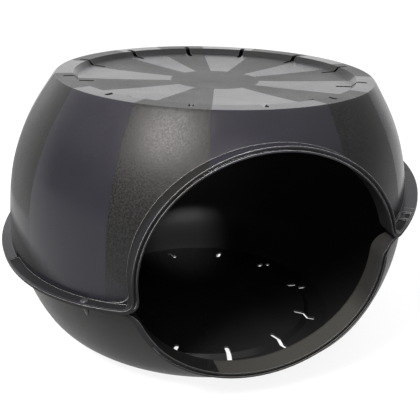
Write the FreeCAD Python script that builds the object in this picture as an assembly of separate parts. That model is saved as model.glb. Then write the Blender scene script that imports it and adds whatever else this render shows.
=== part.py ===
# Plastic cat house: two bowl shells, rim to rim on a slanted flange, with a
# large round entrance half in each shell and 12 radial slots in each end disc.
# Units are millimetres, +Z is up and the entrance looks along -Y.
# The origin is on the plane that the house stands on, in the middle of its outline.
import math
import os

import FreeCAD
import Part

# Driving dimensions: overall
HEIGHT = 331.0
WALL = 3.0
RIM_TILT = 10.0
RIM_LEAN = 192.3
RIM_THICK = 4.0
UPPER_RIM = 271.4
LOWER_RIM = 267.4

# Driving dimensions: wall curves, as depth below the end plane and outer radius
UPPER_WALL = [
    (4.0, 199.6), (8.0, 202.3), (15.0, 207.0), (30.0, 216.8), (52.0, 229.0),
    (75.0, 238.7), (105.0, 247.9), (135.0, 252.8), (170.0, 254.8), (215.0, 255.0),
]
LOWER_WALL = [
    (4.0, 180.5), (8.0, 187.5), (15.0, 198.8), (30.0, 216.0), (45.0, 226.0),
    (60.0, 233.2), (82.0, 241.5), (105.0, 248.0), (135.0, 253.2), (170.0, 254.8),
    (215.0, 255.0),
]

# Driving dimensions: how far the top of the upper bowl stands off the axis
TOP_DRIFT = (5.4, -1.6)

# Driving dimensions: end discs
UPPER_EDGE = 196.0
LOWER_EDGE = 174.0
RECESS_DEPTH = 6.0
DISH_DEPTH = 4.5
UPPER_STEP = 169.0
LOWER_STEP = 144.0

# Driving dimensions: radial slots, with the angle of each from +X
SLOT_WIDTH = 6.0
UPPER_SLOT = (150.0, 187.6)
LOWER_SLOT = (129.0, 160.0)
UPPER_ANGLES = (179.5, 145.0, 114.0, 85.5, 59.0, 31.5, 1.5, -31.0, -63.5, -91.5, -115.5, -146.0)
LOWER_ANGLES = (93.5, 63.0, 32.0, 0.0, -33.0, -64.5, -94.5, 122.5, 150.5, 180.0, -149.5, -122.0)

# Driving dimensions: entrance half in each shell (half width and rise) and its lip
UPPER_DOOR = (143.0, 130.5)
LOWER_DOOR = (140.0, 124.0)
LOWER_SHIFT = -9.0
LIP_THICK = 6.5
LIP_FRONT = 230.0
LIP_BACK = 204.0
GROOVE_SPAN = (1.9, 4.6)
GROOVE_DEPTH = 3.0
CORNER_RADIUS = 20.0

# Driving dimensions: channels in the upper flange, angles from the entrance direction
CHANNEL_DEPTH = 1.8
CHANNEL_INNER = 257.4
CHANNEL_OUTER = 269.0
LONG_CHANNEL = (-80.0, -35.5)
SHORT_CHANNEL = (37.0, 46.6)
RIB_ANGLE = 43.3
RIB_WIDTH = 2.4
NOTCH_ANGLE = 48.7
NOTCH_WIDTH = 1.2
NOTCH_DEPTH = 1.2

# Driving dimensions: push rivets, angles from the entrance direction
RIVET_ANGLES = (-47.3, 132.7, -132.7)
RIVET_CIRCLE = 262.4
HEAD_RADIUS = 4.8
HEAD_HEIGHT = 1.8
HEAD_GAP = 0.6
SHANK_RADIUS = 2.5
SHANK_GAP = 0.2
RIVET_LENGTH = 18.0
TIP_LENGTH = 6.0

# Derived values
MID = HEIGHT / 2.0
BIG = 2.0 * UPPER_RIM
AXIS = FreeCAD.Vector(0, 0, 1)
ZERO = FreeCAD.Vector(0, 0, 0)
TUBE_NEAR = 0.25 * UPPER_RIM
TUBE_FAR = 1.15 * UPPER_RIM
CHANNEL_FLOOR = RIM_THICK - CHANNEL_DEPTH
SEAM_ANGLE = 15.0


def vec(x, y, z=0.0):
    return FreeCAD.Vector(x, y, z)


def polar(radius, angle, z=0.0):
    """A point at an angle measured from the entrance direction."""
    turn = math.radians(270.0 + angle)
    return vec(radius * math.cos(turn), radius * math.sin(turn), z)


def tilted(lean):
    """The frame of the slanted flange plane, through the middle of the house."""
    turn = math.radians(lean)
    slope = math.radians(RIM_TILT)
    normal = vec(
        math.sin(slope) * math.cos(turn),
        math.sin(slope) * math.sin(turn),
        math.cos(slope),
    )
    return FreeCAD.Placement(ZERO, FreeCAD.Rotation(AXIS, normal))


def curve(points):
    spline = Part.BSplineCurve()
    spline.interpolate(points)
    return spline.toShape()


def lines(points):
    return [Part.makeLine(a, b) for a, b in zip(points[:-1], points[1:])]


def turned(edges):
    """Closes a profile in the XZ plane along the axis and turns it about Z."""
    wire = Part.Wire(Part.__sortEdges__(edges))
    body = Part.Face(wire).revolve(ZERO, AXIS, 360)
    body.rotate(ZERO, AXIS, SEAM_ANGLE)
    return body


def offset_wall(wall, amount):
    """The wall curve moved outward by an amount, square to the curve."""
    moved = []
    for i, (depth, radius) in enumerate(wall):
        before = wall[max(i - 1, 0)]
        after = wall[min(i + 1, len(wall) - 1)]
        run = math.hypot(after[0] - before[0], after[1] - before[1])
        down = (after[0] - before[0]) / run
        out = (after[1] - before[1]) / run
        moved.append((depth - amount * out, radius + amount * down))
    return moved


def bowl_body(wall, edge, step, amount):
    """The filled bowl, its surface moved by an amount; the end plane is at z = MID."""
    moved = offset_wall(wall, amount)
    top = MID + amount
    knee = amount * 0.41
    middle = vec(0, 0, top - RECESS_DEPTH - DISH_DEPTH)
    halfway = vec(0.5 * (step + knee), 0, middle.z + 0.25 * DISH_DEPTH)
    disc = [
        vec(step + knee, 0, top - RECESS_DEPTH),
        vec(step + RECESS_DEPTH + knee, 0, top),
        vec(edge, 0, top),
    ]
    dish = Part.Arc(middle, halfway, disc[0]).toShape()
    side = [disc[-1]] + [vec(r, 0, MID - d) for d, r in moved]
    foot = side[-1]
    close = [foot, vec(0, 0, foot.z), middle]
    return turned([dish] + lines(disc) + [curve(side)] + lines(close))


def drifted(body, drift):
    """The bowl with its end plane moved sideways and its rim left in place."""
    matrix = FreeCAD.Matrix()
    matrix.A13 = drift[0] / MID
    matrix.A23 = drift[1] / MID
    return body.transformGeometry(matrix)


def door_ring(distance, door, shift, grow):
    """The outline of the entrance in the plane square to its direction."""
    half_width, rise = door
    points = []
    for i in range(48):
        turn = 2.0 * math.pi * i / 48
        across = shift + (half_width + grow) * math.cos(turn)
        points.append(vec(across, -distance, (rise + grow) * math.sin(turn)))
    spline = Part.BSplineCurve()
    spline.interpolate(Points=points, PeriodicFlag=True)
    return Part.Wire([spline.toShape()])


def opening_body(lean, door, shift, grow, lift):
    """Everything below the flange plane and in the entrance, with rounded corners."""
    frame = tilted(lean)
    rings = [door_ring(distance, door, shift, grow) for distance in (TUBE_NEAR, TUBE_FAR)]
    tube = Part.makeLoft(rings, True, True)
    slab = Part.makeBox(2 * BIG, 2 * BIG, BIG, vec(-BIG, -BIG, -BIG + lift))
    slab.Placement = frame
    front = Part.makeBox(2 * BIG, TUBE_FAR - TUBE_NEAR, 2 * BIG, vec(-BIG, -TUBE_FAR, -BIG))
    body = tube.fuse(slab.common(front)).removeSplitter()
    flat = frame.inverse()
    corners = []
    for edge in body.Edges:
        middle = edge.valueAt((edge.FirstParameter + edge.LastParameter) / 2.0)
        level = flat.multVec(middle).z - lift
        inside = abs(middle.x) < UPPER_RIM
        between = -TUBE_FAR + 1.0 < middle.y < -TUBE_NEAR - 1.0
        if abs(level) < 0.01 and inside and between:
            corners.append(edge)
    body = body.makeFillet(CORNER_RADIUS - grow, corners)
    return body.fuse(slab)


def end_slots(slot, angles):
    """Radial slots with round ends through the end disc."""
    inner, outer = slot
    half = SLOT_WIDTH / 2.0
    low = MID - 4.0 * RECESS_DEPTH
    tall = MID + RECESS_DEPTH - low
    cutters = []
    for angle in angles:
        cutter = Part.makeBox(outer - inner - 2 * half, SLOT_WIDTH, tall, vec(inner + half, -half, low))
        cutter = cutter.fuse(Part.makeCylinder(half, tall, vec(inner + half, 0, low)))
        cutter = cutter.fuse(Part.makeCylinder(half, tall, vec(outer - half, 0, low)))
        cutter.rotate(ZERO, AXIS, angle)
        cutters.append(cutter)
    return Part.makeCompound(cutters)


def ring_piece(inner, outer, low, high, span):
    """A piece of a flat ring between two angles from the entrance direction."""
    start, end = span
    ring = Part.makeCylinder(outer, high - low, vec(0, 0, low), AXIS, end - start)
    ring = ring.cut(Part.makeCylinder(inner, high - low, vec(0, 0, low)))
    ring.rotate(ZERO, AXIS, 270.0 + start)
    return ring


def flange_bar(angle, width, start, low, high):
    """A thin bar across the flange at an angle from the entrance direction."""
    bar = Part.makeBox(BIG - start, width, high - low, vec(start, -width / 2.0, low))
    bar.rotate(ZERO, AXIS, 270.0 + angle)
    return bar


def flange_cuts():
    """The channels, the notch and the seats of the rivet heads in the upper flange."""
    high = 3 * RIM_THICK
    cuts = []
    for span in (LONG_CHANNEL, SHORT_CHANNEL):
        cuts.append(ring_piece(CHANNEL_INNER, CHANNEL_OUTER, CHANNEL_FLOOR, high, span))
    cuts[-1] = cuts[-1].cut(flange_bar(RIB_ANGLE, RIB_WIDTH, 0.0, 0.0, 2 * high))
    cuts.append(flange_bar(NOTCH_ANGLE, NOTCH_WIDTH, CHANNEL_INNER, RIM_THICK - NOTCH_DEPTH, high))
    for angle in RIVET_ANGLES:
        seat = polar(RIVET_CIRCLE, angle, CHANNEL_FLOOR)
        cuts.append(Part.makeCylinder(HEAD_RADIUS + HEAD_GAP, high, seat))
    return Part.makeCompound(cuts)


def rivet_holes():
    holes = []
    for angle in RIVET_ANGLES:
        start = polar(RIVET_CIRCLE, angle, -2 * RIM_THICK)
        holes.append(Part.makeCylinder(SHANK_RADIUS + SHANK_GAP, 4 * RIM_THICK, start))
    return Part.makeCompound(holes)


def shell(outer, inner, rim, lean, door, shift):
    """One bowl with its half of the flange, of the entrance and of the lip."""
    frame = tilted(lean)
    opening = opening_body(lean, door, shift, 0.0, 0.0)
    layer = opening_body(lean, door, shift, LIP_THICK, RIM_THICK)
    disk = Part.makeCylinder(rim, 2 * MID, vec(0, 0, -RIM_THICK))
    disk.Placement = frame
    front = Part.makeBox(2 * BIG, BIG + LIP_FRONT, 2 * BIG, vec(-BIG, -LIP_FRONT, -BIG))
    ring = disk.common(layer).common(front)
    jamb = Part.makeBox(2 * BIG, BIG - LIP_BACK, 2 * BIG, vec(-BIG, -BIG, -BIG))
    strip = ring.common(jamb)
    groove = opening_body(lean, door, shift, GROOVE_SPAN[1], GROOVE_SPAN[1])
    groove = groove.cut(opening_body(lean, door, shift, GROOVE_SPAN[0], GROOVE_SPAN[0]))
    face = Part.makeBox(2 * BIG, BIG, 2 * BIG, vec(-BIG, -BIG - LIP_FRONT + GROOVE_DEPTH, -BIG))
    return outer.fuse(ring).cut(inner.cut(strip)).cut(opening).cut(groove.common(face))


def rivet():
    """A push rivet standing on the flange, its head up and its tip down."""
    top = CHANNEL_FLOOR + HEAD_HEIGHT
    end = CHANNEL_FLOOR - RIVET_LENGTH
    outline = [
        vec(0, 0, top),
        vec(HEAD_RADIUS * 0.6, 0, top),
        vec(HEAD_RADIUS, 0, top - HEAD_HEIGHT * 0.6),
        vec(HEAD_RADIUS, 0, CHANNEL_FLOOR),
        vec(SHANK_RADIUS, 0, CHANNEL_FLOOR),
        vec(SHANK_RADIUS, 0, end + TIP_LENGTH),
        vec(SHANK_RADIUS * 0.5, 0, end),
        vec(0, 0, end),
        vec(0, 0, top),
    ]
    return turned(lines(outline))


def main():
    os.makedirs("parts", exist_ok=True)
    frame = tilted(RIM_LEAN)
    outer = drifted(bowl_body(UPPER_WALL, UPPER_EDGE, UPPER_STEP, 0.0), TOP_DRIFT)
    inner = drifted(bowl_body(UPPER_WALL, UPPER_EDGE, UPPER_STEP, -WALL), TOP_DRIFT)
    upper = shell(outer, inner, UPPER_RIM, RIM_LEAN, UPPER_DOOR, 0.0)
    slots = end_slots(UPPER_SLOT, UPPER_ANGLES)
    slots.translate(vec(*TOP_DRIFT))
    upper = upper.cut(slots)
    outer = bowl_body(LOWER_WALL, LOWER_EDGE, LOWER_STEP, 0.0)
    inner = bowl_body(LOWER_WALL, LOWER_EDGE, LOWER_STEP, -WALL)
    lower = shell(outer, inner, LOWER_RIM, 360.0 - RIM_LEAN, LOWER_DOOR, -LOWER_SHIFT)
    lower = lower.cut(end_slots(LOWER_SLOT, [180.0 - angle for angle in LOWER_ANGLES]))
    lower.rotate(ZERO, vec(0, 1, 0), 180)
    cuts = flange_cuts()
    cuts.Placement = frame
    holes = rivet_holes()
    holes.Placement = frame
    upper = upper.cut(cuts).cut(holes)
    lower = lower.cut(holes)
    rivets = []
    for angle in RIVET_ANGLES:
        pin = rivet()
        pin.translate(polar(RIVET_CIRCLE, angle))
        pin.transformShape(frame.toMatrix())
        rivets.append(pin)
    pieces = {
        "upper_shell": upper,
        "lower_shell": lower,
        "push_rivets": Part.makeCompound(rivets),
    }
    lean = frame.Rotation.multVec(AXIS).y
    back = UPPER_RIM * math.sqrt(1.0 - lean * lean) + RIM_THICK * max(lean, 0.0)
    shift = vec(0, (LIP_FRONT - back) / 2.0, MID)
    for name, shape in pieces.items():
        shape.translate(shift)
        print(name, shape.isValid(), len(shape.Solids), round(shape.Volume / 1000.0, 1))
        shape.exportStep("parts/" + name + ".step")
    print("axis at y", round(shift.y, 3))


main()
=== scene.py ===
"""Finishes the moulded cat house: plastic surfaces, rivets, a pale studio and the camera."""
import math
from typing import NamedTuple

import bpy
from bpy.props import FloatProperty, FloatVectorProperty, PointerProperty
from bpy.types import Operator, Panel, PropertyGroup
from mathutils import Matrix, Vector

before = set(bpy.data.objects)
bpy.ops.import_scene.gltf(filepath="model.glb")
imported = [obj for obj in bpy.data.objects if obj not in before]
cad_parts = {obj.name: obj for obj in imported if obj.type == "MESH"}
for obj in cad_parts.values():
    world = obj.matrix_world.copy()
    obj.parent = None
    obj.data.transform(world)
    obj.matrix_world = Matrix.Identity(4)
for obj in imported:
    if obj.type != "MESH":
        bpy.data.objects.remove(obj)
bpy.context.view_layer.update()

bl_info = {
    "name": "Moulded cat house finish",
    "version": (1, 0, 0),
    "blender": (4, 5, 0),
    "location": "3D View > Sidebar > Cat house",
    "description": "Dresses the two shells and their rivets and sets up the studio",
    "category": "Object",
}

# The smooth wedges of the upper shell, as the angles where each starts and ends, in degrees
WEDGES = (
    (148.2, 174.2), (98.6, 118.6), (54.5, 77.8), (7.8, 29.0),
    (-46.8, -18.8), (-109.0, -71.3), (-160.2, -132.7),
)
# Middle of the cabin, from which inner faces are told from outer ones, in metres
CABIN_MIDDLE = (0.0, -0.0206, 0.1655)
# Upward direction of the slanted flange, and the height of its channels above the joint
FLANGE_UP = (-0.1697, -0.0370, 0.9848)
CHANNEL_LEVEL = 0.0022

# Where each zone of a shell starts and where it is full, in metres. A radius is taken from the
# middle of the end disc, a depth is along Y and is lowest at the entrance.
INNER_RADIUS = (0.2545, 0.2535)
INNER_DEPTH = (-0.227, -0.224)
DISC_RADIUS = (0.1935, 0.1925)
DISC_LEVEL = (0.146, 0.148)
CHANNEL_RADIUS = (0.2560, 0.2570)
CHANNEL_BAND = (0.0009, 0.0005)
FLANGE_RADIUS = (0.2565, 0.2575)
FLANGE_SIDE_RADIUS = (0.2590, 0.2600)
SILL_DEPTH = (-0.200, -0.206)
SILL_START = (-0.054, -0.052)
SILL_DIMMING = (0.108, 0.122)
# Where the painted highlight on the edges grows brighter towards the entrance
LIP_DEPTH = (-0.195, -0.205)
# The same for the way that the faces of a zone are turned
FACING_CABIN = (0.0, -0.01)
FACING_AXIS = (0.4, 0.6)
DISC_UPRIGHT = (0.45, 0.30)
FLANGE_UPRIGHT = (0.60, 0.45)
# How soft a wedge is at its two ends, in metres, and along its sides
WEDGE_BLUR = 0.0006
WEDGE_SOFTNESS = 0.004
# How smooth the flange is between the grained plastic (0) and the wedges (1)
FLANGE_SMOOTHNESS = 0.6
# The painted light at the dimmer end of the sill, as a share of its lit part
SILL_DIMMED = 0.35

# Grain, fine grain and slow clouds: the span of the noise that is used and what it gives
NOISE_DETAIL = 3.0
GRAIN_SPAN = (0.36, 0.66)
GRAIN_TONE = (0.50, 1.65)
FINE_SHARE = 0.45
NOISE_SPAN = (0.3, 0.7)
FINE_TONE = (0.8, 1.2)
CLOUD_SIZE = 0.06
CLOUD_TONE = (0.92, 1.08)
CLOUD_ROUGHNESS = (-0.03, 0.04)
SPECKLE_SPAN = (0.35, 0.65)
SPECKLE_ROUGHNESS = (-0.05, 0.05)
INNER_ROUGHNESS = 0.04
SHADED_ROUGHNESS = 0.65

# Painted highlight along the edges: how far the rounded normal parts from the face's own, and how
# far it looks up
BEVEL_SAMPLES = 6
EDGE_HIGHLIGHT_MATCH = (0.99, 0.80)
ROUNDED_MATCH = (0.99, 0.95)
EDGE_HIGHLIGHT_UPWARD = (-0.05, 0.30)
EDGE_HIGHLIGHT_TONE = (0.19, 0.34)

# Gloss of the moulded plastic
PLASTIC_IOR = 1.5
PLASTIC_SPECULAR = 0.18

# The rivets: their grain, and the painted shade on their part below the joint
RIVET_GRAIN = 0.0012
RIVET_TONE = (0.85, 1.2)
RIVET_ROUGHNESS = (-0.05, 0.07)
RIVET_SHADE_LEVEL = (-0.004, -0.003)
RIVET_SHADE = 0.2

# The room by direction: where each change starts and ends, and the light there
SIDE_SPAN = (-0.5, 0.7)
SIDE_LIGHT = (0.20, 0.44)
BACK_DIRECTION = (0.06, 1.0, 0.0)
BACK_SPAN = (0.38, 0.92)
BACK_LIGHT = 1.68
OVERHEAD_SPAN = (0.30, 0.75)
OVERHEAD_LIGHT = 1.20
HORIZON_SPAN = (0.16, 0.12)
HORIZON_FRONT = (-0.2, -0.5)

# Lamps: place, what they look at, and their own measures, in metres
KEY_PLACE = (-0.81, -0.76, 1.27)
KEY_TARGET = (-0.10, -0.20, 0.30)
KEY_SIZE = 0.5
KEY_COLOR = (1.0, 0.955, 0.93)
DOOR_PLACE = (-0.107, -0.90, 0.636)
DOOR_TARGET = (0.016, 0.172, 0.013)
DOOR_CONE = math.radians(6.2)
DOOR_RADIUS = 0.03
DOOR_BLEND = 0.5

# The floor, just under the house so that the two do not share a plane
FLOOR_SIZE = 60.0
FLOOR_LEVEL = -0.0005
FLOOR_ROUGHNESS = 0.9

# The photograph's width and focal length in pixels, the sensor's width in millimetres, and the
# nearest and farthest that the camera sees, in metres
PHOTO_WIDTH = 420.0
FOCAL_PIXELS = 681.61
SENSOR_WIDTH = 36.0
CLIP_START = 0.01
CLIP_END = 200.0


class ShellSettings(PropertyGroup):
    """Sizes and colours of the moulded plastic, with the colours of its painted light and shade.
    """
    smooth_color: FloatVectorProperty(
        name="Smooth colour", description="Colour of the smooth wedges and of plain plastic",
        subtype="COLOR", size=3, min=0.0, max=1.0, default=(0.0125, 0.0122, 0.0158))
    grained_color: FloatVectorProperty(
        name="Grained colour", description="Mean colour of the grained sectors",
        subtype="COLOR", size=3, min=0.0, max=1.0, default=(0.0068, 0.0068, 0.0067))
    inner_color: FloatVectorProperty(
        name="Inner colour", description="Colour of the faces inside the cabin",
        subtype="COLOR", size=3, min=0.0, max=1.0, default=(0.0135, 0.0133, 0.0134))
    # Painted shade: a near-black colour on the channel floors and the flange's outer side stands
    # in for the shade that falls there
    painted_shade_color: FloatVectorProperty(
        name="Painted shade colour", description="Painted shade on the channel floors and the flange's side",
        subtype="COLOR", size=3, min=0.0, max=1.0, default=(0.005, 0.005, 0.006))
    # Painted light: the step round the recessed end disc is coloured lighter than the rest of the
    # plastic for the light that falls on it
    painted_step_light_color: FloatVectorProperty(
        name="Painted step light", description="Painted light on the step round the recessed end disc",
        subtype="COLOR", size=3, min=0.0, max=1.0, default=(0.042, 0.042, 0.040))
    # Painted light: the entrance's sill on the lower shell is coloured lighter for the light that
    # falls on it, fading towards its far end
    painted_sill_light_color: FloatVectorProperty(
        name="Painted sill light", description="Painted light on the sill of the entrance",
        subtype="COLOR", size=3, min=0.0, max=1.0, default=(0.033, 0.033, 0.030))
    smooth_roughness: FloatProperty(
        name="Smooth roughness", description="Roughness of the smooth wedges",
        subtype="FACTOR", min=0.0, max=1.0, default=0.25)
    grained_roughness: FloatProperty(
        name="Grained roughness", description="Roughness of the grained sectors",
        subtype="FACTOR", min=0.0, max=1.0, default=0.42)
    grain_size: FloatProperty(
        name="Grain size", description="Size of the moulded grain",
        unit="LENGTH", min=0.0005, max=0.01, default=0.0018)
    grain_depth: FloatProperty(
        name="Grain depth", description="Depth of the moulded grain",
        unit="LENGTH", min=0.0, max=0.002, default=0.00009)
    wedge_start: FloatProperty(
        name="Wedge start", description="Radius of the grained middle of the end disc",
        unit="LENGTH", min=0.0, max=0.2, default=0.055)
    # The radius also sets the band of painted highlight along the edges
    edge_softness: FloatProperty(
        name="Edge softness", description="Radius of the worn edges",
        unit="LENGTH", min=0.0, max=0.005, default=0.0008)


class RivetSettings(PropertyGroup):
    """Colour and gloss of the push rivets."""
    color: FloatVectorProperty(
        name="Rivet colour", description="Colour of the push rivets",
        subtype="COLOR", size=3, min=0.0, max=1.0, default=(0.020, 0.020, 0.022))
    roughness: FloatProperty(
        name="Rivet roughness", description="Roughness of the push rivets",
        subtype="FACTOR", min=0.0, max=1.0, default=0.28)


class StudioSettings(PropertyGroup):
    """The floor, the lights and the camera."""
    floor_color: FloatVectorProperty(
        name="Floor colour", description="Colour of the pale floor",
        subtype="COLOR", size=3, min=0.0, max=1.0, default=(0.16, 0.16, 0.16))
    floor_glow: FloatProperty(
        name="Floor glow", description="Light that the lit floor gives off",
        min=0.0, max=5.0, default=0.88)
    key_power: FloatProperty(
        name="Key light", description="Power of the soft light at the front left",
        unit="POWER", min=0.0, max=1000.0, default=50.0)
    door_power: FloatProperty(
        name="Door light", description="Power of the small light that looks in at the entrance",
        unit="POWER", min=0.0, max=1000.0, default=66.0)
    lens: FloatProperty(
        name="Focal length", description="Focal length of the camera in millimetres",
        unit="CAMERA", min=10.0, max=300.0, default=FOCAL_PIXELS / PHOTO_WIDTH * SENSOR_WIDTH)
    eye: FloatVectorProperty(
        name="Camera place", description="Where the camera stands",
        subtype="XYZ", unit="LENGTH", size=3, default=(-0.26356, -0.83488, 0.49538))
    yaw: FloatProperty(
        name="Camera yaw", description="Turn of the view to the right of +Y",
        subtype="ANGLE", default=math.radians(18.264))
    pitch: FloatProperty(
        name="Camera pitch", description="Tilt of the view below the horizon",
        subtype="ANGLE", default=math.radians(22.376))
    roll: FloatProperty(
        name="Camera roll", description="Roll of the view",
        subtype="ANGLE", default=math.radians(1.876))


class ShellFinish(NamedTuple):
    """What sets the finish of one shell apart from the other."""
    name: str
    middle: tuple
    wedges: tuple
    reach: float
    edge_highlight_share: float
    sill: float


# The wedges run over the whole upper shell but only over the end disc of the lower one, the edges
# of the lower shell get less painted highlight, and only the lower half of the entrance gets
# painted light on its sill
UPPER_FINISH = ShellFinish(
    name="upper_plastic_finish", middle=(0.0054, -0.0222), wedges=WEDGES,
    reach=1.0, edge_highlight_share=0.9, sill=0.0)
LOWER_FINISH = ShellFinish(
    name="lower_plastic_finish", middle=(0.0, -0.0206),
    wedges=tuple((180.0 - high, 180.0 - low) for low, high in WEDGES),
    reach=0.174, edge_highlight_share=0.4, sill=1.0)


class Zones(NamedTuple):
    """Masks of one shell, and the tone of the painted highlight on its edges."""
    plain: bpy.types.NodeSocket
    inside: bpy.types.NodeSocket
    painted_shade: bpy.types.NodeSocket
    step: bpy.types.NodeSocket
    sill: bpy.types.NodeSocket
    edge_highlight_tone: bpy.types.NodeSocket


class Graph:
    """Adds and links the nodes of one material or world."""

    def __init__(self, tree):
        self.tree = tree
        tree.nodes.clear()

    def add(self, kind, **settings):
        node = self.tree.nodes.new(kind)
        for key, value in settings.items():
            setattr(node, key, value)
        return node

    def plug(self, socket, value):
        if isinstance(value, bpy.types.NodeSocket):
            self.tree.links.new(value, socket)
        else:
            socket.default_value = value

    def math(self, operation, a, b=0.0):
        node = self.add("ShaderNodeMath", operation=operation)
        self.plug(node.inputs[0], a)
        self.plug(node.inputs[1], b)
        return node.outputs[0]

    def product(self, first, *others):
        for other in others:
            first = self.math("MULTIPLY", first, other)
        return first

    def inverse(self, mask):
        return self.math("SUBTRACT", 1.0, mask)

    def vector(self, operation, a, b=(0.0, 0.0, 0.0)):
        node = self.add("ShaderNodeVectorMath", operation=operation)
        self.plug(node.inputs[0], a)
        self.plug(node.inputs[1], b)
        return node.outputs["Value"] if operation in {"DOT_PRODUCT", "LENGTH"} else node.outputs[0]

    def split(self, value):
        node = self.add("ShaderNodeSeparateXYZ")
        self.plug(node.inputs[0], value)
        return tuple(node.outputs)

    def scale(self, color, amount):
        node = self.add("ShaderNodeVectorMath", operation="SCALE")
        self.plug(node.inputs[0], color)
        self.plug(node.inputs["Scale"], amount)
        return node.outputs[0]

    def ramp(self, value, low, high, start=0.0, end=1.0):
        node = self.add("ShaderNodeMapRange", clamp=True)
        for socket, item in zip(node.inputs, (value, low, high, start, end)):
            self.plug(socket, item)
        return node.outputs[0]

    def mix(self, kind, factor, a, b):
        node = self.add("ShaderNodeMix", data_type=kind)
        self.plug(node.inputs["Factor"], factor)
        self.plug(node.inputs["A"], a)
        self.plug(node.inputs["B"], b)
        return node.outputs["Result"]

    def blend(self, factor, a, b):
        return self.mix("RGBA", factor, a, b)

    def lerp(self, factor, a, b):
        return self.mix("FLOAT", factor, a, b)

    def noise(self, place, size, detail=2.0):
        node = self.add("ShaderNodeTexNoise")
        self.plug(node.inputs["Vector"], place)
        node.inputs["Scale"].default_value = 1.0 / size
        node.inputs["Detail"].default_value = detail
        return node.outputs[0]

    def object_place(self):
        return self.add("ShaderNodeTexCoord").outputs["Object"]

    def surface(self, values):
        """Ends a material in one shader with the given inputs."""
        shader = self.add("ShaderNodeBsdfPrincipled")
        for key, value in values.items():
            self.plug(shader.inputs[key], value)
        output = self.add("ShaderNodeOutputMaterial")
        self.plug(output.inputs["Surface"], shader.outputs[0])


def opaque(color):
    return (color[0], color[1], color[2], 1.0)


def new_material(name):
    material = bpy.data.materials.new(name)
    material.use_nodes = True
    return material, Graph(material.node_tree)


def flange_height(graph, place):
    """Height above the slanted joint of the two shells."""
    return graph.vector("DOT_PRODUCT", graph.vector("SUBTRACT", place, CABIN_MIDDLE), FLANGE_UP)


def wedge_mask(graph, place, shell, start):
    """1 in the smooth wedges and 0 elsewhere, with the radius and direction from the middle."""
    moved = graph.vector("SUBTRACT", place, (shell.middle[0], shell.middle[1], 0.0))
    flat = graph.vector("MULTIPLY", moved, (1.0, 1.0, 0.0))
    radius = graph.vector("LENGTH", flat)
    direction = graph.vector("NORMALIZE", flat)
    mask = None
    for low, high in shell.wedges:
        turn = math.radians(0.5 * (low + high))
        half = math.radians(0.5 * (high - low))
        across = graph.vector("DOT_PRODUCT", direction, (math.cos(turn), math.sin(turn), 0.0))
        soft = WEDGE_SOFTNESS * math.sin(half)
        wedge = graph.ramp(across, math.cos(half) - soft, math.cos(half) + soft)
        mask = wedge if mask is None else graph.math("MAXIMUM", mask, wedge)
    mask = graph.product(
        mask,
        graph.ramp(radius, start - WEDGE_BLUR, start + WEDGE_BLUR),
        graph.ramp(radius, shell.reach + WEDGE_BLUR, shell.reach - WEDGE_BLUR))
    return mask, radius, direction


def shell_zones(graph, place, normal, shell, start):
    """Tells the zones of a shell apart by place and by how their faces are turned."""
    smooth, radius, direction = wedge_mask(graph, place, shell, start)
    x, y, z = graph.split(place)
    flatness = graph.math("ABSOLUTE", graph.split(normal)[2])
    outward = graph.vector("DOT_PRODUCT", normal, graph.vector("SUBTRACT", place, CABIN_MIDDLE))
    facing_in = graph.ramp(outward, *FACING_CABIN)
    inside = graph.product(
        facing_in, graph.ramp(radius, *INNER_RADIUS), graph.ramp(y, *INNER_DEPTH))

    # The upright faces of an end disc are its step, turned to the axis, which gets painted light,
    # and the slots' walls
    level = graph.math("ABSOLUTE", graph.math("SUBTRACT", z, CABIN_MIDDLE[2]))
    upright = graph.product(
        graph.ramp(flatness, *DISC_UPRIGHT), graph.ramp(radius, *DISC_RADIUS),
        graph.ramp(level, *DISC_LEVEL))
    turned = graph.math("ABSOLUTE", graph.vector("DOT_PRODUCT", normal, direction))
    facing_axis = graph.ramp(turned, *FACING_AXIS)
    step = graph.product(upright, facing_axis, graph.inverse(inside))
    inside = graph.math("MAXIMUM", inside, graph.product(upright, graph.inverse(facing_axis)))

    # Painted shade: the channel floors and the flange's outer side are masked here to be coloured
    # near-black for the shade in them
    off_floor = graph.math("SUBTRACT", flange_height(graph, place), CHANNEL_LEVEL)
    sunk = graph.product(
        graph.ramp(graph.math("ABSOLUTE", off_floor), *CHANNEL_BAND),
        graph.ramp(radius, *CHANNEL_RADIUS))
    side = graph.product(
        graph.ramp(flatness, *FLANGE_UPRIGHT), graph.ramp(radius, *FLANGE_SIDE_RADIUS))
    flange = graph.product(graph.ramp(radius, *FLANGE_RADIUS), FLANGE_SMOOTHNESS)
    # Painted light on the sill of the entrance, dimmer towards its far end
    sill = graph.product(
        facing_in, graph.ramp(y, *SILL_DEPTH), graph.inverse(inside),
        graph.ramp(x, *SILL_START),
        graph.ramp(x, *SILL_DIMMING, shell.sill, SILL_DIMMED * shell.sill))
    return Zones(
        plain=graph.math("MAXIMUM", smooth, flange),
        inside=inside,
        painted_shade=graph.math("MAXIMUM", sunk, side),
        step=step,
        sill=sill,
        # painted highlight on the edges, brighter towards the entrance
        edge_highlight_tone=graph.ramp(y, *LIP_DEPTH, *EDGE_HIGHLIGHT_TONE))


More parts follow.
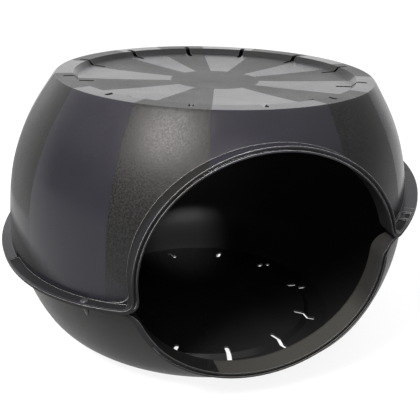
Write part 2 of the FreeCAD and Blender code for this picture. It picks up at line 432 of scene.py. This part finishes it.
def shell_color(graph, place, settings, zones, grain, cloud):
    """Colour of a shell before the painted highlight goes on its edges."""
    fine = graph.noise(place, FINE_SHARE * settings.grain_size)
    fleck = graph.product(
        graph.ramp(grain, *GRAIN_SPAN, *GRAIN_TONE), graph.ramp(fine, *NOISE_SPAN, *FINE_TONE))
    fleck = graph.lerp(zones.plain, fleck, 1.0)
    color = graph.blend(
        zones.plain, opaque(settings.grained_color), opaque(settings.smooth_color))
    color = graph.scale(
        color, graph.product(fleck, graph.ramp(cloud, *NOISE_SPAN, *CLOUD_TONE)))
    # Painted shade goes on the channel floors and the flange's side, and painted light on the step
    # and the sill
    for mask, own in (
        (zones.inside, settings.inner_color),
        (zones.painted_shade, settings.painted_shade_color),
        (zones.step, settings.painted_step_light_color),
        (zones.sill, settings.painted_sill_light_color),
    ):
        color = graph.blend(mask, color, opaque(own))
    return color


def shell_roughness(graph, settings, zones, grain, cloud):
    """Roughness of a shell: speckled on the grain, even on the wedges, dull in the shade."""
    rough = graph.lerp(zones.plain, settings.grained_roughness, settings.smooth_roughness)
    speckle = graph.ramp(grain, *SPECKLE_SPAN, *SPECKLE_ROUGHNESS)
    for part in (
        graph.ramp(cloud, *NOISE_SPAN, *CLOUD_ROUGHNESS),
        graph.product(speckle, graph.inverse(zones.plain)),
        graph.product(zones.inside, INNER_ROUGHNESS),
    ):
        rough = graph.math("ADD", rough, part)
    return graph.lerp(zones.painted_shade, rough, SHADED_ROUGHNESS)


def soft_edges(graph, normal, radius):
    """Where the edges get painted highlight, and a normal that is rounded only beside them."""
    bevel = graph.add("ShaderNodeBevel", samples=BEVEL_SAMPLES)
    bevel.inputs["Radius"].default_value = radius
    soft = bevel.outputs[0]
    match = graph.vector("DOT_PRODUCT", soft, normal)
    highlit = graph.product(
        graph.ramp(match, *EDGE_HIGHLIGHT_MATCH), graph.ramp(graph.split(soft)[2], *EDGE_HIGHLIGHT_UPWARD))
    return highlit, graph.blend(graph.ramp(match, *ROUNDED_MATCH), normal, soft)


def shell_material(shell, settings):
    """Dark moulded plastic with smooth wedges between grained sectors."""
    material, graph = new_material(shell.name)
    place = graph.object_place()
    normal = graph.add("ShaderNodeNewGeometry").outputs["Normal"]
    zones = shell_zones(graph, place, normal, shell, settings.wedge_start)
    grain = graph.noise(place, settings.grain_size, NOISE_DETAIL)
    cloud = graph.noise(place, CLOUD_SIZE, NOISE_DETAIL)

    # Painted highlight: upward-turned edges are coloured lighter, less on the lower shell and none
    # inside
    highlit, rounded = soft_edges(graph, normal, settings.edge_softness)
    highlit = graph.product(highlit, graph.inverse(zones.inside), shell.edge_highlight_share)
    color = shell_color(graph, place, settings, zones, grain, cloud)

    bump = graph.add("ShaderNodeBump")
    bump.inputs["Strength"].default_value = 1.0
    bump.inputs["Distance"].default_value = settings.grain_depth
    graph.plug(bump.inputs["Height"], graph.product(grain, graph.inverse(zones.plain)))
    graph.plug(bump.inputs["Normal"], rounded)

    graph.surface({
        # The painted highlight on the edges is laid over the colour
        "Base Color": graph.blend(highlit, color, zones.edge_highlight_tone),
        "Roughness": shell_roughness(graph, settings, zones, grain, cloud),
        "Normal": bump.outputs[0],
        "IOR": PLASTIC_IOR,
        "Specular IOR Level": PLASTIC_SPECULAR,
    })
    return material


def rivet_material(name, settings):
    """Plain plastic, with painted shade where the rivet hides below the joint."""
    material, graph = new_material(name)
    place = graph.object_place()
    fine = graph.noise(place, RIVET_GRAIN)
    # Painted shade: the part below the joint is darkened for the shadow of the flanges
    shade = graph.ramp(flange_height(graph, place), *RIVET_SHADE_LEVEL, RIVET_SHADE, 1.0)
    tone = graph.product(shade, graph.ramp(fine, *NOISE_SPAN, *RIVET_TONE))
    low, high = (settings.roughness + change for change in RIVET_ROUGHNESS)
    graph.surface({
        "Base Color": graph.scale(tuple(settings.color), tone),
        "Roughness": graph.ramp(fine, *NOISE_SPAN, low, high),
    })
    return material


def dress(node, material):
    """Gives a carried-over node one material."""
    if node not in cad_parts:
        raise RuntimeError("the frame has no node " + node)
    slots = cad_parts[node].data.materials
    if len(slots) == 0:
        slots.append(material)
    for index in range(len(slots)):
        slots[index] = material


class CATHOUSE_OT_shells(Operator):
    """Gives both shells their grained and smooth plastic"""
    bl_idname = "cathouse.shells"
    bl_label = "Finish the shells"

    def execute(self, context):
        settings = context.scene.cathouse_shell
        dress("upper_shell", shell_material(UPPER_FINISH, settings))
        dress("lower_shell", shell_material(LOWER_FINISH, settings))
        return {"FINISHED"}


class CATHOUSE_OT_rivets(Operator):
    """Gives the push rivets their plastic"""
    bl_idname = "cathouse.rivets"
    bl_label = "Finish the rivets"

    def execute(self, context):
        settings = context.scene.cathouse_rivet
        dress("push_rivets", rivet_material("rivet_plastic_finish", settings))
        return {"FINISHED"}


class CATHOUSE_OT_studio(Operator):
    """Makes the pale floor, the soft lights and the camera"""
    bl_idname = "cathouse.studio"
    bl_label = "Set up the studio"

    def execute(self, context):
        settings = context.scene.cathouse_studio
        make_floor(settings)
        make_world(context.scene)
        make_lights(settings)
        make_camera(context.scene, settings)
        return {"FINISHED"}


def make_floor(settings):
    bpy.ops.mesh.primitive_plane_add(size=FLOOR_SIZE, location=(0.0, 0.0, FLOOR_LEVEL))
    floor = bpy.context.active_object
    floor.name = "studio_floor"
    material, graph = new_material("floor_finish")
    graph.surface({
        "Base Color": opaque(settings.floor_color),
        "Roughness": FLOOR_ROUGHNESS,
        "Specular IOR Level": 0.0,
        "Emission Color": (1.0, 1.0, 1.0, 1.0),
        "Emission Strength": settings.floor_glow,
    })
    floor.data.materials.append(material)


def make_world(scene):
    """A bright tent above and behind, and a darker room with a pale horizon in front."""
    world = bpy.data.worlds.new("studio_world")
    world.use_nodes = True
    graph = Graph(world.node_tree)
    toward = graph.add("ShaderNodeTexCoord").outputs["Generated"]
    x, y, z = graph.split(toward)
    front = graph.ramp(x, *SIDE_SPAN, *SIDE_LIGHT)
    backward = graph.vector("DOT_PRODUCT", toward, BACK_DIRECTION)
    level = graph.ramp(backward, *BACK_SPAN, front, BACK_LIGHT)
    light = graph.lerp(graph.ramp(z, *OVERHEAD_SPAN), level, OVERHEAD_LIGHT)
    horizon = graph.product(graph.ramp(z, *HORIZON_SPAN), graph.ramp(y, *HORIZON_FRONT))
    background = graph.add("ShaderNodeBackground")
    background.inputs["Color"].default_value = (1.0, 1.0, 1.0, 1.0)
    graph.plug(background.inputs["Strength"], graph.math("MAXIMUM", light, horizon))
    output = graph.add("ShaderNodeOutputWorld")
    graph.plug(output.inputs["Surface"], background.outputs[0])
    scene.world = world


def add_lamp(name, kind, place, target, power):
    """Adds a lamp that looks at the target, and returns its data for what its kind needs."""
    data = bpy.data.lights.new(name, kind)
    data.energy = power
    lamp = bpy.data.objects.new(name, data)
    bpy.context.scene.collection.objects.link(lamp)
    lamp.location = place
    look = Vector(target) - Vector(place)
    lamp.rotation_euler = look.to_track_quat("-Z", "Y").to_euler()
    return data


def make_lights(settings):
    key = add_lamp("key_softbox", "AREA", KEY_PLACE, KEY_TARGET, settings.key_power)
    key.shape = "SQUARE"
    key.size = KEY_SIZE
    key.color = KEY_COLOR
    door = add_lamp("door_spot", "SPOT", DOOR_PLACE, DOOR_TARGET, settings.door_power)
    door.shadow_soft_size = DOOR_RADIUS
    door.spot_size = DOOR_CONE
    door.spot_blend = DOOR_BLEND


def make_camera(scene, settings):
    data = bpy.data.cameras.new("photo_camera")
    data.sensor_fit = "HORIZONTAL"
    data.sensor_width = SENSOR_WIDTH
    data.lens = settings.lens
    data.clip_start = CLIP_START
    data.clip_end = CLIP_END
    camera = bpy.data.objects.new("photo_camera", data)
    scene.collection.objects.link(camera)
    yaw, pitch, roll = settings.yaw, settings.pitch, settings.roll
    level = math.cos(pitch)
    ahead = Vector((math.sin(yaw) * level, math.cos(yaw) * level, -math.sin(pitch)))
    right = Vector((math.cos(yaw), -math.sin(yaw), 0.0))
    upward = right.cross(ahead)
    side = right * math.cos(roll) + upward * math.sin(roll)
    top = upward * math.cos(roll) - right * math.sin(roll)
    turn = Matrix((side, top, -ahead)).transposed().to_4x4()
    camera.matrix_world = Matrix.Translation(Vector(settings.eye)) @ turn
    scene.camera = camera


class CATHOUSE_PT_panel(Panel):
    """Lists the steps and their settings"""
    bl_idname = "CATHOUSE_PT_panel"
    bl_label = "Cat house"
    bl_space_type = "VIEW_3D"
    bl_region_type = "UI"
    bl_category = "Cat house"

    def draw(self, context):
        layout = self.layout
        for operator, group in STEPS:
            layout.operator(operator)
            settings = getattr(context.scene, group)
            for key in settings.__annotations__:
                layout.prop(settings, key)


STEPS = (
    ("cathouse.shells", "cathouse_shell"),
    ("cathouse.rivets", "cathouse_rivet"),
    ("cathouse.studio", "cathouse_studio"),
)
CLASSES = (
    ShellSettings, RivetSettings, StudioSettings,
    CATHOUSE_OT_shells, CATHOUSE_OT_rivets, CATHOUSE_OT_studio, CATHOUSE_PT_panel,
)


def register():
    for item in CLASSES:
        bpy.utils.register_class(item)
    bpy.types.Scene.cathouse_shell = PointerProperty(type=ShellSettings)
    bpy.types.Scene.cathouse_rivet = PointerProperty(type=RivetSettings)
    bpy.types.Scene.cathouse_studio = PointerProperty(type=StudioSettings)


def unregister():
    del bpy.types.Scene.cathouse_studio
    del bpy.types.Scene.cathouse_rivet
    del bpy.types.Scene.cathouse_shell
    for item in reversed(CLASSES):
        bpy.utils.unregister_class(item)


def plain(box):
    """A box as plain lists of numbers."""
    return [[float(value) for value in corner] for corner in box]


def main():
    register()
    bpy.context.scene.view_settings.view_transform = "Standard"
    bpy.ops.cathouse.shells()
    bpy.ops.cathouse.rivets()
    bpy.ops.cathouse.studio()


if __name__ == "__main__":
    main()
